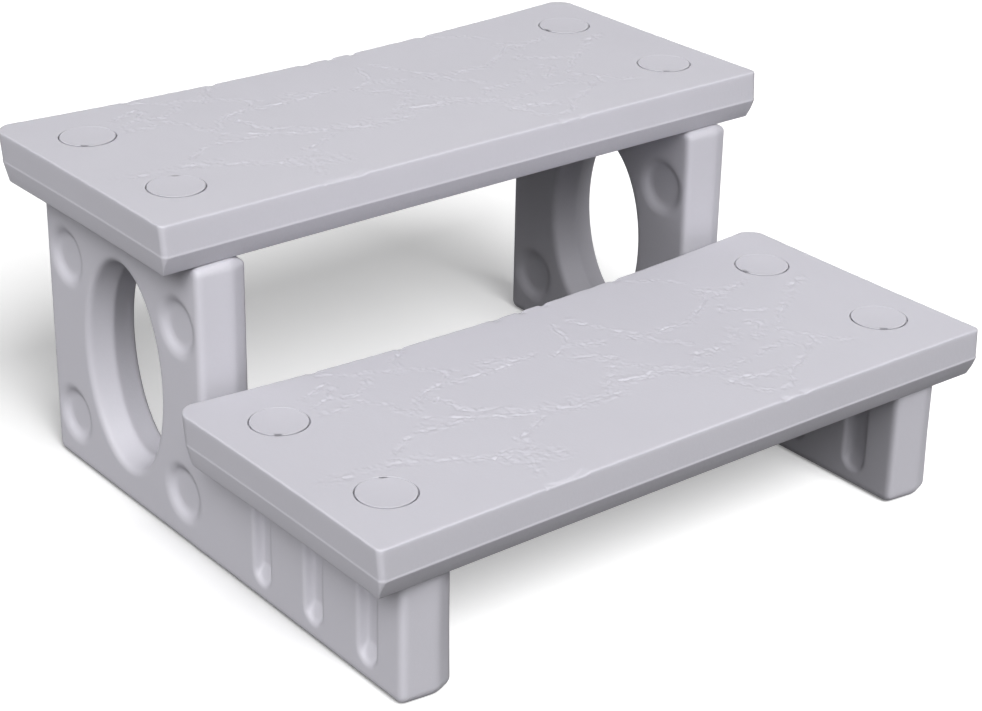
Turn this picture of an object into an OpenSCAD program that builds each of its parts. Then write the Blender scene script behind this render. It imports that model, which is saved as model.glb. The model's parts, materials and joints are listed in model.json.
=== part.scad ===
// Two-tread spa steps: two hollow side panels, two hollow treads, eight screws under snap-in caps.
// Millimetres. +X runs along the treads, +Y from front to back, +Z up.
// The origin is on the floor at the centre of the footprint.

/* [Treads] */
// Length of each tread from side to side
tread_length = 692; // [670:1:720]
// Depth of each tread from front to back at its ends
tread_depth = 302; // [290:1:304]
// Thickness of each tread
tread_thickness = 50; // [46:1:60]
// How far the back edge bows inward at mid-length
back_bow = 18; // [8:1:22]
// Plan radius of the two front corners
front_corner_r = 6; // [6:1:20]
// Plan radius of the two back corners
back_corner_r = 20; // [16:1:40]
// Height of the bevel under the rim
rim_bevel_h = 19; // [8:1:22]
// Inward reach of the bevel under the rim
rim_bevel_w = 10; // [4:1:12]
// Softening of the top edge
top_edge = 1.5; // [1:0.5:5]
// Wall thickness of the hollow tread
tread_wall = 4; // [3:0.5:5]

/* [Steps] */
// Height climbed from the floor to the lower tread's top
lower_rise = 169; // [160:1:190]
// Height climbed from the lower tread's top to the upper tread's top
upper_rise = 166; // [160:1:190]
// Distance from the lower tread's front edge to the upper tread's front edge
run = 310; // [308:1:320]

/* [Side panels] */
// Thickness of each side panel
panel_thickness = 54; // [50:1:56]
// Distance between the same face of the two side panels
panel_spacing = 571; // [560:1:580]
// Distance from the middle of the steps to the left panel's outer face
panel_reach = 310; // [304:1:316]
// Setback of the panels behind the lower tread's front edge
panel_front_setback = 16; // [8:1:30]
// Setback of the tall part behind the upper tread's front edge
tall_front_setback = 2; // [0:1:10]
// Setback of the panels ahead of the upper tread's back edge
panel_back_setback = 24; // [12:1:30]
// Distance of the parting line from the panel's -X face
parting_depth = 32; // [26:1:36]
// Wall thickness of the hollow panel
panel_wall = 3.5; // [3:0.5:5]
// Corner radius of the panel in side view
panel_corner_r = 10; // [6:1:16]

/* [Window in each side panel] */
// Width of the oval window at the faces
window_w = 134; // [110:1:150]
// Height of the oval window at the faces
window_h = 211; // [180:1:220]
// How far the window wall leans inward at mid-thickness
window_lean = 9; // [4:1:14]
// Height of the window's centre above the floor
window_z = 140; // [134:1:150]

/* [Dimples in each side panel] */
// Diameter of a dimple at the face
dimple_d = 56; // [44:1:60]
// Diameter of a dimple's flat floor
dimple_floor_d = 40; // [30:1:42]
// Depth of a dimple
dimple_depth = 6; // [4:0.5:9]
// Distance between dimple centres from front to back
dimple_spacing = 196; // [190:1:210]
// Height of the lower dimples
dimple_low_z = 52; // [46:1:60]
// Height of the upper dimples
dimple_high_z = 218; // [210:1:224]

/* [Grooves in each side panel] */
// Width of a groove at the face
groove_w = 26; // [20:1:30]
// Width of a groove's floor
groove_floor_w = 18; // [12:1:20]
// Depth of a groove
groove_depth = 8; // [5:0.5:10]
// Distance between groove centres
groove_pitch = 78; // [70:1:84]
// Height of the lower end of a groove
groove_bottom_z = 17.5; // [14:0.5:24]

/* [Caps] */
// Diameter of a cap
cap_d = 54.4; // [50:0.2:58]
// Thickness of a cap's disc
cap_t = 4; // [3:0.5:5]
// Depth of a cap's skirt below its disc
skirt_h = 12; // [8:1:16]
// Distance of the front caps behind the tread's front edge
front_cap_y = 73; // [66:1:84]
// Distance of the back caps behind the tread's front edge
back_cap_y = 228; // [214:1:232]

/* [Fasteners] */
// Diameter of the screw shank
screw_d = 8; // [6:1:8]
// Reach of the screw below the tread
screw_reach = 26; // [18:1:27]
// Diameter of the washer
washer_d = 24; // [20:1:26]
// Length of the threaded insert in the panel
insert_length = 28; // [28:1:34]

/* [Hidden] */

plastic_grey = [0.80, 0.79, 0.83];
zinc_steel = [0.62, 0.63, 0.65];
nut_brass = [0.72, 0.58, 0.32];

// Overlap where two pieces of one solid meet, and reach of a cut past a face
joint = 0.01;
over = 1;
arc_fn = 48;
large_arc_fn = 720;

// Places of the treads and panels
lower_front = -(run + tread_depth) / 2;
upper_front = lower_front + run;
lower_top = lower_rise;
upper_top = lower_rise + upper_rise;
panel_front = lower_front + panel_front_setback;
tall_front = upper_front + tall_front_setback;
panel_back = upper_front + tread_depth - panel_back_setback;
low_height = lower_top - tread_thickness;
tall_height = upper_top - tread_thickness;
tall_middle = (tall_front + panel_back) / 2;
left_face_x = -panel_reach;
right_face_x = -panel_reach + panel_spacing;

// Screws and caps stand in two rows, the same distance from each panel's -X face
left_x = -panel_spacing / 2;
right_x = panel_spacing / 2;
screw_inset = panel_reach - panel_spacing / 2;

// Rings of a side panel from its -X face to its +X face: [distance, inset of the outline]
face_round = 3;
draft = 2.5;
bevel_start = 5;
bevel_start_inset = 0.8;
bevel_inset = 7.5;
panel_rings = [
    [0, draft + face_round],
    [face_round, draft],
    [parting_depth, 0],
    [parting_depth + bevel_start, bevel_start_inset],
    [panel_thickness, bevel_inset]
];
cavity_inset = bevel_inset + 2;
// Height cut off the drafted edges so that the panel stands and carries its treads on flat strips
seat_cut = 1.5;

// Rings of a tread from its underside to its top: [height, inset of the outline]
tread_rings = [
    [0, rim_bevel_w],
    [rim_bevel_h, 0],
    [tread_thickness - top_edge, 0],
    [tread_thickness, top_edge]
];
// The same rings without the underside, whose front corners come to a point of this radius
upper_rings = [for (i = [1:3]) tread_rings[i]];
point_r = 0.5;
half_length = tread_length / 2;
// The bow meets each back corner this many degrees round from the corner's rearmost point
bow_meet = 9;
back_post_y = tread_depth - back_corner_r * cos(bow_meet);
bow_half_chord = half_length - back_corner_r * (1 - sin(bow_meet));
bow_radius = (bow_half_chord * bow_half_chord + back_bow * back_bow) / (2 * back_bow);

// Grooves sit side by side in the low front part
groove_first_y = panel_front + 51;
groove_top_margin = 12;
groove_count = 3;

// Wells for the screws, from the top of a tread down to a solid floor
cap_gap = 0.3;
recess_r = cap_d / 2 + cap_gap;
well_r = 25;
well_floor_t = 8;
well_wall = 4;
skirt_r = well_r - 0.35;
skirt_wall = 2.6;
cap_edge = 0.8;
notch_w = 6;
notch_depth = 2;

// Shallow dishes stiffen the underside of a tread
dish_r = 24;
dish_floor_r = 18;
dish_depth = 5;
dish_x = [-195, -65, 65, 195];
dish_y = [82, 206];

// Fasteners
screw_r = screw_d / 2;
screw_hole_r = screw_r + 0.5;
washer_hole_r = screw_r + 0.3;
washer_t = 2;
head_r = 8;
head_h = 5.5;
head_edge = 2;
drive_l = 9;
drive_w = 2;
drive_depth = 3;
tip_chamfer = 1;
insert_r = 6.95;
insert_hole_r = 7;
insert_bore_r = screw_r + 0.05;
flange_r = 9;
flange_t = 1.5;
boss_r = 12;
boss_depth = insert_length + 6;

// ---- Side panels ----

// Stands an outline drawn in the Y-Z plane upright and makes it thickness deep along +X
module upright(thickness) {
    rotate([90, 0, 90]) linear_extrude(height = thickness) children();
}

// Round corner post of a panel, lying along +X, with the draft, parting line and bevelled +X edge
module panel_post() {
    rotate([90, 0, 90]) rotate_extrude($fn = 32) polygon(concat(
        [[0, 0]],
        [for (ring = panel_rings) [panel_corner_r - ring[1], ring[0]]],
        [[0, panel_thickness]]));
}

// One block of the panel from y0 to y1, cut off flat at the floor and at height so it has a seat
module panel_block(y0, y1, height) {
    r = panel_corner_r;
    intersection() {
        hull() for (y = [y0 + r, y1 - r], z = [r - seat_cut, height + seat_cut - r])
            translate([0, y, z]) panel_post();
        translate([-over, y0 - over, 0]) cube([panel_thickness + 2 * over, y1 - y0 + 2 * over, height]);
    }
}

function ellipse_points(a, b, n = 72) =
    [for (i = [0:n - 1]) [a * cos(360 * i / n), b * sin(360 * i / n)]];

// Half of the window, from a face at x = 0 inward to the ridge at mid-thickness
module window_half() {
    half_t = panel_thickness / 2;
    a = window_w / 2;
    b = window_h / 2;
    ridge_scale = [(a - window_lean) / a, (b - window_lean) / b];
    translate([0, tall_middle, window_z]) {
        rotate([90, 0, 90]) linear_extrude(height = half_t + joint, scale = ridge_scale, slices = 1)
            polygon(ellipse_points(a, b));
        translate([-over, 0, 0]) upright(over + joint) polygon(ellipse_points(a, b));
    }
}

// Shallow conical dimple cut into the face at x = 0, grown by grow on every side
module dimple(y, z, grow = 0) {
    lean = (dimple_d - dimple_floor_d) / 2 / dimple_depth;
    translate([-over, y, z]) rotate([0, 90, 0])
        cylinder(h = dimple_depth + over + grow, r1 = dimple_d / 2 + lean * over + grow,
                 r2 = dimple_floor_d / 2 + grow, $fn = arc_fn);
}

// Upright groove with round ends cut into the face at x = 0, grown by grow on every side
module groove(y, grow = 0) {
    lean = (groove_w - groove_floor_w) / 2 / groove_depth;
    mouth = groove_w / 2 + lean * over + grow;
    bed = groove_floor_w / 2 + grow;
    deep = groove_depth + over + grow;
    z0 = groove_bottom_z + groove_w / 2;
    z1 = low_height - groove_top_margin - groove_w / 2;
    for (z = [z0, z1]) translate([-over, y, z]) rotate([0, 90, 0])
        cylinder(h = deep, r1 = mouth, r2 = bed, $fn = arc_fn);
    translate([-over, y, z0]) linear_extrude(height = z1 - z0)
        polygon([[0, -mouth], [deep, -bed], [deep, bed], [0, mouth]]);
}

module face_features(grow = 0) {
    for (y = [tall_middle - dimple_spacing / 2, tall_middle + dimple_spacing / 2])
        for (z = [dimple_low_z, dimple_high_z]) dimple(y, z, grow);
    for (i = [0:groove_count - 1]) groove(groove_first_y + i * groove_pitch, grow);
}

// Draws its children on both faces of a panel whose -X face is at x = 0
module both_faces() {
    children();
    translate([panel_thickness, 0, 0]) mirror([1, 0, 0]) children();
}

// Places along Y of the two screws on a tread whose front edge is at front
function screw_ys(front) = [front + front_cap_y, front + back_cap_y];

module insert_holes(front, top) {
    for (y = screw_ys(front)) translate([screw_inset, y, top]) {
        translate([0, 0, -insert_length - 2])
            cylinder(h = insert_length + 2 + over, r = insert_hole_r, $fn = arc_fn);
        translate([0, 0, -flange_t]) cylinder(h = flange_t + over, r = flange_r + 0.05, $fn = arc_fn);
    }
}

module insert_bosses(front, top) {
    for (y = screw_ys(front)) translate([screw_inset, y, top - boss_depth])
        cylinder(h = boss_depth + over, r = boss_r, $fn = arc_fn);
}

// Sealed air space inside a panel
module panel_cavity() {
    inner_t = panel_thickness - 2 * panel_wall;
    difference() {
        translate([panel_wall, 0, 0]) upright(inner_t) {
            translate([panel_front + cavity_inset, cavity_inset])
                square([tall_front - panel_front, low_height - 2 * cavity_inset]);
            translate([tall_front + cavity_inset, cavity_inset])
                square([panel_back - tall_front - 2 * cavity_inset, tall_height - 2 * cavity_inset]);
        }
        translate([0, tall_middle, window_z]) upright(panel_thickness)
            polygon(ellipse_points(window_w / 2 + panel_wall, window_h / 2 + panel_wall));
        both_faces() face_features(panel_wall);
        insert_bosses(lower_front, low_height);
        insert_bosses(upper_front, tall_height);
    }
}

// A side panel with its -X face at x = face_x; both panels come from one mould
module side_panel(face_x) {
    color(plastic_grey) translate([face_x, 0, 0]) difference() {
        union() {
            panel_block(panel_front, tall_front + 3 * panel_corner_r, low_height);
            panel_block(tall_front, panel_back, tall_height);
        }
        both_faces() {
            window_half();
            face_features();
        }
        insert_holes(lower_front, low_height);
        insert_holes(upper_front, tall_height);
        panel_cavity();
    }
}

module left_side_panel() { side_panel(left_face_x); }
module right_side_panel() { side_panel(right_face_x); }

// ---- Treads ----

// Corner post of a tread with the given rings, drawn in by shrink at its side, top and underside
module corner_post(r, rings, shrink) {
    function ring_z(ring) = min(max(ring[0], shrink), tread_thickness - shrink);
    rotate_extrude($fn = 64) polygon(concat(
        [[0, ring_z(rings[0])]],
        [for (ring = rings) [max(r - ring[1] - shrink, point_r), ring_z(ring)]],
        [[0, tread_thickness - shrink]]));
}

// A tread's outer form with its front edge at y = 0, drawn in by shrink on every side
module tread_form(shrink) {
    foot = rim_bevel_w + shrink + point_r;
    difference() {
        hull() for (side = [-1, 1]) {
            translate([side * (half_length - front_corner_r), front_corner_r, 0])
                corner_post(front_corner_r, upper_rings, shrink);
            translate([side * (half_length - foot), foot, shrink])
                cylinder(h = rim_bevel_h / 2, r = point_r, $fn = 16);
            translate([side * (half_length - back_corner_r), back_post_y, 0])
                corner_post(back_corner_r, tread_rings, shrink);
        }
        translate([0, tread_depth - back_bow + bow_radius - shrink, 0]) {
            translate([0, 0, -over])
                cylinder(h = tread_thickness + 2 * over, r = bow_radius, $fn = large_arc_fn);
            translate([0, 0, shrink - over])
                cylinder(h = rim_bevel_h + over, r1 = bow_radius + rim_bevel_w * (1 + over / rim_bevel_h),
                         r2 = bow_radius, $fn = large_arc_fn);
        }
    }
}

// Repeats its children at the four screw places of a tread whose front edge is at y = 0
module at_tread_screws() {
    for (x = [left_x, right_x], y = [front_cap_y, back_cap_y]) translate([x, y, 0]) children();
}

// Repeats its children at the dishes in the underside of a tread
module at_dishes() {
    for (x = dish_x, y = dish_y) translate([x, y, 0]) children();
}

module dish(grow) {
    lean = (dish_r - dish_floor_r) / dish_depth;
    translate([0, 0, -over])
        cylinder(h = dish_depth + over + grow, r1 = dish_r + lean * over + grow,
                 r2 = dish_floor_r + grow, $fn = arc_fn);
}

// Sealed air space inside a tread
module tread_cavity() {
    difference() {
        tread_form(tread_wall);
        at_tread_screws() cylinder(h = tread_thickness, r = recess_r + well_wall, $fn = arc_fn);
        at_dishes() dish(tread_wall);
    }
}

module tread(front, top) {
    color(plastic_grey) translate([0, front, top - tread_thickness]) difference() {
        tread_form(0);
        tread_cavity();
        at_dishes() dish(0);
        at_tread_screws() {
            translate([0, 0, -over]) cylinder(h = tread_thickness, r = screw_hole_r, $fn = arc_fn);
            translate([0, 0, well_floor_t]) cylinder(h = tread_thickness, r = well_r, $fn = arc_fn);
            translate([0, 0, tread_thickness - cap_t]) cylinder(h = cap_t + over, r = recess_r, $fn = arc_fn);
        }
    }
}

module lower_tread() { tread(lower_front, lower_top); }
module upper_tread() { tread(upper_front, upper_top); }

// ---- Caps ----

// A snap-in cap, flush with a tread's top, with a pry notch in its rim at notch_angle
module cap(x, y, top, notch_angle) {
    color(plastic_grey) translate([x, y, top]) difference() {
        union() {
            rotate_extrude($fn = 96) polygon([
                [0, -cap_t], [cap_d / 2, -cap_t], [cap_d / 2, -cap_edge], [cap_d / 2 - cap_edge, 0], [0, 0]]);
            translate([0, 0, -cap_t - skirt_h]) cylinder(h = skirt_h + joint, r = skirt_r, $fn = 96);
        }
        translate([0, 0, -cap_t - skirt_h - over])
            cylinder(h = skirt_h + over, r = skirt_r - skirt_wall, $fn = 96);
        rotate([0, 0, notch_angle]) translate([cap_d / 2 - notch_depth, -notch_w / 2, -cap_t - over])
            cube([notch_depth + over, notch_w, cap_t + 2 * over]);
    }
}

front_left_notch = 60;
front_right_notch = 234;
back_left_notch = 234;
back_right_notch = 187;

module lower_front_left_cap() { cap(left_x, lower_front + front_cap_y, lower_top, front_left_notch); }
module lower_front_right_cap() { cap(right_x, lower_front + front_cap_y, lower_top, front_right_notch); }
module lower_back_left_cap() { cap(left_x, lower_front + back_cap_y, lower_top, back_left_notch); }
module lower_back_right_cap() { cap(right_x, lower_front + back_cap_y, lower_top, back_right_notch); }
module upper_front_left_cap() { cap(left_x, upper_front + front_cap_y, upper_top, front_left_notch); }
module upper_front_right_cap() { cap(right_x, upper_front + front_cap_y, upper_top, front_right_notch); }
module upper_back_left_cap() { cap(left_x, upper_front + back_cap_y, upper_top, back_left_notch); }
module upper_back_right_cap() { cap(right_x, upper_front + back_cap_y, upper_top, back_right_notch); }

// ---- Fasteners: two of each over each panel and tread ----

// Repeats its children on the underside of a tread at its two screws over one panel
module at_screw_pair(x, front, top) {
    for (y = screw_ys(front)) translate([x, y, top - tread_thickness]) children();
}

// Pan-head screw standing on the washer in its well
module screws(x, front, top) {
    under_head = well_floor_t + washer_t;
    color(zinc_steel) at_screw_pair(x, front, top) difference() {
        rotate_extrude($fn = arc_fn) polygon([
            [0, -screw_reach],
            [screw_r - tip_chamfer, -screw_reach],
            [screw_r, -screw_reach + tip_chamfer],
            [screw_r, under_head],
            [head_r, under_head],
            [head_r, under_head + head_h - head_edge],
            [head_r - head_edge, under_head + head_h],
            [0, under_head + head_h]]);
        translate([0, 0, under_head + head_h - drive_depth]) {
            translate([-drive_l / 2, -drive_w / 2, 0]) cube([drive_l, drive_w, drive_depth + over]);
            translate([-drive_w / 2, -drive_l / 2, 0]) cube([drive_w, drive_l, drive_depth + over]);
        }
    }
}

// Flat washer on the floor of the well
module washers(x, front, top) {
    color(zinc_steel) at_screw_pair(x, front, top) translate([0, 0, well_floor_t]) difference() {
        cylinder(h = washer_t, r = washer_d / 2, $fn = arc_fn);
        translate([0, 0, -over]) cylinder(h = washer_t + 2 * over, r = washer_hole_r, $fn = arc_fn);
    }
}

// Flanged threaded insert, flush with the top of the panel
module inserts(x, front, top) {
    color(nut_brass) at_screw_pair(x, front, top) rotate_extrude($fn = arc_fn) polygon([
        [insert_bore_r, -insert_length],
        [insert_r, -insert_length],
        [insert_r, -flange_t],
        [flange_r, -flange_t],
        [flange_r, 0],
        [insert_bore_r, 0]]);
}

module lower_left_screws() { screws(left_x, lower_front, lower_top); }
module lower_right_screws() { screws(right_x, lower_front, lower_top); }
module upper_left_screws() { screws(left_x, upper_front, upper_top); }
module upper_right_screws() { screws(right_x, upper_front, upper_top); }
module lower_left_washers() { washers(left_x, lower_front, lower_top); }
module lower_right_washers() { washers(right_x, lower_front, lower_top); }
module upper_left_washers() { washers(left_x, upper_front, upper_top); }
module upper_right_washers() { washers(right_x, upper_front, upper_top); }
module lower_left_inserts() { inserts(left_x, lower_front, lower_top); }
module lower_right_inserts() { inserts(right_x, lower_front, lower_top); }
module upper_left_inserts() { inserts(left_x, upper_front, upper_top); }
module upper_right_inserts() { inserts(right_x, upper_front, upper_top); }

left_side_panel();
right_side_panel();
lower_tread();
upper_tread();
lower_front_left_cap();
lower_front_right_cap();
lower_back_left_cap();
lower_back_right_cap();
upper_front_left_cap();
upper_front_right_cap();
upper_back_left_cap();
upper_back_right_cap();
lower_left_screws();
lower_right_screws();
upper_left_screws();
upper_right_screws();
lower_left_washers();
lower_right_washers();
upper_left_washers();
upper_right_washers();
lower_left_inserts();
lower_right_inserts();
upper_left_inserts();
upper_right_inserts();
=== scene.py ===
"""Spa steps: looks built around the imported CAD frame. Metres, +X right, +Y back, +Z up."""

import json
import math

import bmesh
import bpy
import numpy as np
from mathutils import Matrix, Vector

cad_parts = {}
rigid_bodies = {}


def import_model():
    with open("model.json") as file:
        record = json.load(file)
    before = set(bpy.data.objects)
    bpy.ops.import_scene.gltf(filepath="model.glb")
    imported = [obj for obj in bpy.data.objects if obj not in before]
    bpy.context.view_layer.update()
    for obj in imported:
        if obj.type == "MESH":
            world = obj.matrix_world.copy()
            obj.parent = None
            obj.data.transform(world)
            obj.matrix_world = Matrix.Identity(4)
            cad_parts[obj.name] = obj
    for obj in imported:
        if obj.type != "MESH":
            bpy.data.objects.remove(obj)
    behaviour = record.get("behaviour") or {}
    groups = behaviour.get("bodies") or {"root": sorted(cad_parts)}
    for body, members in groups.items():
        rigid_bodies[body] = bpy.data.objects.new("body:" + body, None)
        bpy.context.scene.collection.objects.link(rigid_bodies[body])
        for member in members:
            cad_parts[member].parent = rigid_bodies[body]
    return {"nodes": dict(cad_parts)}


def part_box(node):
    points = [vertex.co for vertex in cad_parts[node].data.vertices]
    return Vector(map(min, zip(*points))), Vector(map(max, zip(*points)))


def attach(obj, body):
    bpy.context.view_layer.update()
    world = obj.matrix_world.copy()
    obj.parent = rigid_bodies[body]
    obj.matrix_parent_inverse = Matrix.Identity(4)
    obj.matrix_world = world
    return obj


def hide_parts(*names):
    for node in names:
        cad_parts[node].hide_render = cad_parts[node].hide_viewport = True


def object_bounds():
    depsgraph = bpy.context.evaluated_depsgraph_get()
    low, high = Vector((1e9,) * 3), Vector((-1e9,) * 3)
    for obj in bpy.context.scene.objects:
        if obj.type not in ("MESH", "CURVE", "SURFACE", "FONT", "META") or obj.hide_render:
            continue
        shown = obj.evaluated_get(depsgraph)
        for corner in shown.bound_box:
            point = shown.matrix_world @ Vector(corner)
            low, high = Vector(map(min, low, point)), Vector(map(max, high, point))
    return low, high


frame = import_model()
cad_lo, cad_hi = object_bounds()

MM = 0.001
LEVELS = ("lower", "upper")
SIDES = ("left", "right")


# ---- Small helpers ----

def mesh_object(name, verts, faces):
    """A new object from vertices in metres and faces given as lists of vertex numbers."""
    me = bpy.data.meshes.new(name)
    me.from_pydata([tuple(v) for v in verts], [], [tuple(f) for f in faces])
    me.validate()
    me.update()
    ob = bpy.data.objects.new(name, me)
    bpy.context.scene.collection.objects.link(ob)
    return ob


def quad_object(name, verts, quads, extra=()):
    """As mesh_object, for many quads held in arrays, plus a few larger faces."""
    me = bpy.data.meshes.new(name)
    quads = np.asarray(quads, np.int32)
    loops = [quads.ravel()] + [np.asarray(f, np.int32) for f in extra]
    sizes = np.concatenate([np.full(len(quads), 4, np.int32),
                            np.array([len(f) for f in extra], np.int32)])
    flat = np.concatenate(loops)
    me.vertices.add(len(verts))
    me.vertices.foreach_set("co", np.asarray(verts, np.float32).ravel())
    me.loops.add(len(flat))
    me.loops.foreach_set("vertex_index", flat)
    me.polygons.add(len(sizes))
    starts = np.concatenate([[0], np.cumsum(sizes)[:-1]]).astype(np.int32)
    me.polygons.foreach_set("loop_start", starts)
    me.update(calc_edges=True)
    me.validate()
    ob = bpy.data.objects.new(name, me)
    bpy.context.scene.collection.objects.link(ob)
    return ob


def smooth_by_angle(ob, degrees):
    """Smooth shading everywhere but over edges sharper than the angle."""
    me = ob.data
    me.polygons.foreach_set("use_smooth", np.ones(len(me.polygons), bool))
    me.set_sharp_from_angle(angle=math.radians(degrees))
    me.update()


def cut(ob, cutters):
    """Subtracts closed cutters from a closed mesh and bakes the result in."""
    for cutter in cutters:
        mod = ob.modifiers.new("cut", "BOOLEAN")
        mod.object, mod.operation, mod.solver = cutter, "DIFFERENCE", "MANIFOLD"
        dg = bpy.context.evaluated_depsgraph_get()
        me = bpy.data.meshes.new_from_object(ob.evaluated_get(dg), depsgraph=dg)
        me.materials.clear()
        ob.modifiers.clear()
        old, ob.data = ob.data, me
        bpy.data.meshes.remove(old)
        bpy.data.objects.remove(cutter, do_unlink=True)


def lathe(name, profile, centres, segments=96):
    """One mesh with a closed turned solid at each centre. The profile is (radius, z) from the
    axis at the bottom to the axis at the top, in mm; the centres are in metres."""
    verts, faces = [], []
    for c in centres:
        base = len(verts)
        ring = len(profile) - 2
        verts.append((c[0], c[1], c[2] + profile[0][1] * MM))
        for r, z in profile[1:-1]:
            for i in range(segments):
                a = 2 * math.pi * i / segments
                verts.append((c[0] + r * MM * math.cos(a), c[1] + r * MM * math.sin(a),
                              c[2] + z * MM))
        verts.append((c[0], c[1], c[2] + profile[-1][1] * MM))
        top = len(verts) - 1
        for i in range(segments):
            j = (i + 1) % segments
            faces.append((base, base + 1 + j, base + 1 + i))
            for k in range(ring - 1):
                a, b = base + 1 + k * segments, base + 1 + (k + 1) * segments
                faces.append((a + i, a + j, b + j, b + i))
            last = base + 1 + (ring - 1) * segments
            faces.append((last + i, last + j, top))
    return mesh_object(name, verts, faces)


def smooth_max(a, b, k):
    """The larger of two fields, blended over a width of k."""
    h = np.maximum(k - np.abs(a - b), 0) / k
    return np.maximum(a, b) + h * h * k / 4


def smooth_min(a, b, k):
    return -smooth_max(-a, -b, k)


NOISE_TABLE = 128
NOISE_OFFSET = 1000


def lattice_noise(x, y, size, seed):
    """Smooth value noise from -1 to 1 with cells of the given size."""
    n = NOISE_TABLE
    table = np.random.RandomState(seed).rand(n, n) * 2 - 1
    u, v = np.asarray(x) / size + NOISE_OFFSET, np.asarray(y) / size + NOISE_OFFSET
    i, j = np.floor(u).astype(int), np.floor(v).astype(int)
    s, t = u - i, v - j
    s, t = s * s * (3 - 2 * s), t * t * (3 - 2 * t)
    i0, i1, j0, j1 = i % n, (i + 1) % n, j % n, (j + 1) % n
    return ((table[i0, j0] * (1 - s) + table[i1, j0] * s) * (1 - t)
            + (table[i0, j1] * (1 - s) + table[i1, j1] * s) * t)


# ---- Materials ----

def material(name):
    mat = bpy.data.materials.new(name)
    mat.use_nodes = True
    nt = mat.node_tree
    return mat, nt, nt.nodes["Principled BSDF"]


def node(nt, kind, **values):
    n = nt.nodes.new(kind)
    for key, value in values.items():
        if key in n.inputs:
            n.inputs[key].default_value = value
        else:
            setattr(n, key, value)
    return n


def noise_node(nt, coords, scale, detail=4.0, rough=0.55):
    n = node(nt, "ShaderNodeTexNoise", Scale=scale, Detail=detail, Roughness=rough)
    nt.links.new(coords, n.inputs["Vector"])
    return n.outputs["Fac"]


def mix_colour(nt, fac, a, b):
    m = nt.nodes.new("ShaderNodeMix")
    m.data_type = "RGBA"
    first, second = [s for s in m.inputs if s.type == "RGBA"]
    first.default_value, second.default_value = (*a, 1), (*b, 1)
    nt.links.new(fac, m.inputs[0])
    return next(s for s in m.outputs if s.type == "RGBA")


def scale_colour(colour, k):
    return tuple(c * k for c in colour)


CLOUD_SCALE, FINE_SCALE, SKIN_SCALE = 9.0, 260.0, 1400.0
CLOUD_SHARE, FINE_SHARE = 0.65, 0.35
PLASTIC_ROUGHNESS = (0.50, 0.64)
PLASTIC_SPECULAR = 0.42


def moulded_plastic(name, colour, grain=1.0):
    """Matte blow-moulded polyethylene: faint cloudiness, a fine cast skin and uneven gloss."""
    mat, nt, bsdf = material(name)
    coords = nt.nodes.new("ShaderNodeTexCoord").outputs["Object"]
    cloud = noise_node(nt, coords, CLOUD_SCALE, 3.0)
    fine = noise_node(nt, coords, FINE_SCALE, 3.0)
    skin = noise_node(nt, coords, SKIN_SCALE, 2.0)
    blend = node(nt, "ShaderNodeMath", operation="MULTIPLY_ADD")
    nt.links.new(fine, blend.inputs[0])
    blend.inputs[1].default_value = FINE_SHARE
    half = node(nt, "ShaderNodeMath", operation="MULTIPLY")
    nt.links.new(cloud, half.inputs[0])
    half.inputs[1].default_value = CLOUD_SHARE
    nt.links.new(half.outputs[0], blend.inputs[2])
    dark, light = scale_colour(colour, 0.955), scale_colour(colour, 1.045)
    nt.links.new(mix_colour(nt, blend.outputs[0], dark, light), bsdf.inputs["Base Color"])
    rough = node(nt, "ShaderNodeMapRange")
    nt.links.new(fine, rough.inputs["Value"])
    rough.inputs["To Min"].default_value = PLASTIC_ROUGHNESS[0]
    rough.inputs["To Max"].default_value = PLASTIC_ROUGHNESS[1]
    nt.links.new(rough.outputs["Result"], bsdf.inputs["Roughness"])
    bsdf.inputs["Specular IOR Level"].default_value = PLASTIC_SPECULAR
    bump1 = node(nt, "ShaderNodeBump", Strength=0.10 * grain, Distance=0.0004)
    nt.links.new(skin, bump1.inputs["Height"])
    bump2 = node(nt, "ShaderNodeBump", Strength=0.10 * grain, Distance=0.0012)
    nt.links.new(fine, bump2.inputs["Height"])
    nt.links.new(bump1.outputs["Normal"], bump2.inputs["Normal"])
    nt.links.new(bump2.outputs["Normal"], bsdf.inputs["Normal"])
    return mat


def metal(name, colour, rough_lo, rough_hi, scale):
    """Plain metal with slightly uneven tone and gloss."""
    mat, nt, bsdf = material(name)
    coords = nt.nodes.new("ShaderNodeTexCoord").outputs["Object"]
    n = noise_node(nt, coords, scale, 5.0, 0.7)
    nt.links.new(mix_colour(nt, n, scale_colour(colour, 0.86), scale_colour(colour, 1.08)),
                 bsdf.inputs["Base Color"])
    bsdf.inputs["Metallic"].default_value = 1.0
    rough = node(nt, "ShaderNodeMapRange")
    nt.links.new(n, rough.inputs["Value"])
    rough.inputs["To Min"].default_value = rough_lo
    rough.inputs["To Max"].default_value = rough_hi
    nt.links.new(rough.outputs["Result"], bsdf.inputs["Roughness"])
    bump = node(nt, "ShaderNodeBump", Strength=0.15, Distance=0.0002)
    nt.links.new(n, bump.inputs["Height"])
    nt.links.new(bump.outputs["Normal"], bsdf.inputs["Normal"])
    return mat


GREY = (0.470, 0.462, 0.505)
mat_panel = moulded_plastic("panel_plastic", GREY)
mat_tread = moulded_plastic("tread_plastic", GREY)
mat_cap = moulded_plastic("cap_plastic", GREY, 0.7)
mat_zinc = metal("zinc_steel", (0.60, 0.61, 0.64), 0.22, 0.42, 420.0)
mat_brass = metal("insert_brass", (0.72, 0.52, 0.24), 0.25, 0.45, 380.0)


# ---- Side panels: a smooth distance field turned into a mesh ----

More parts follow.
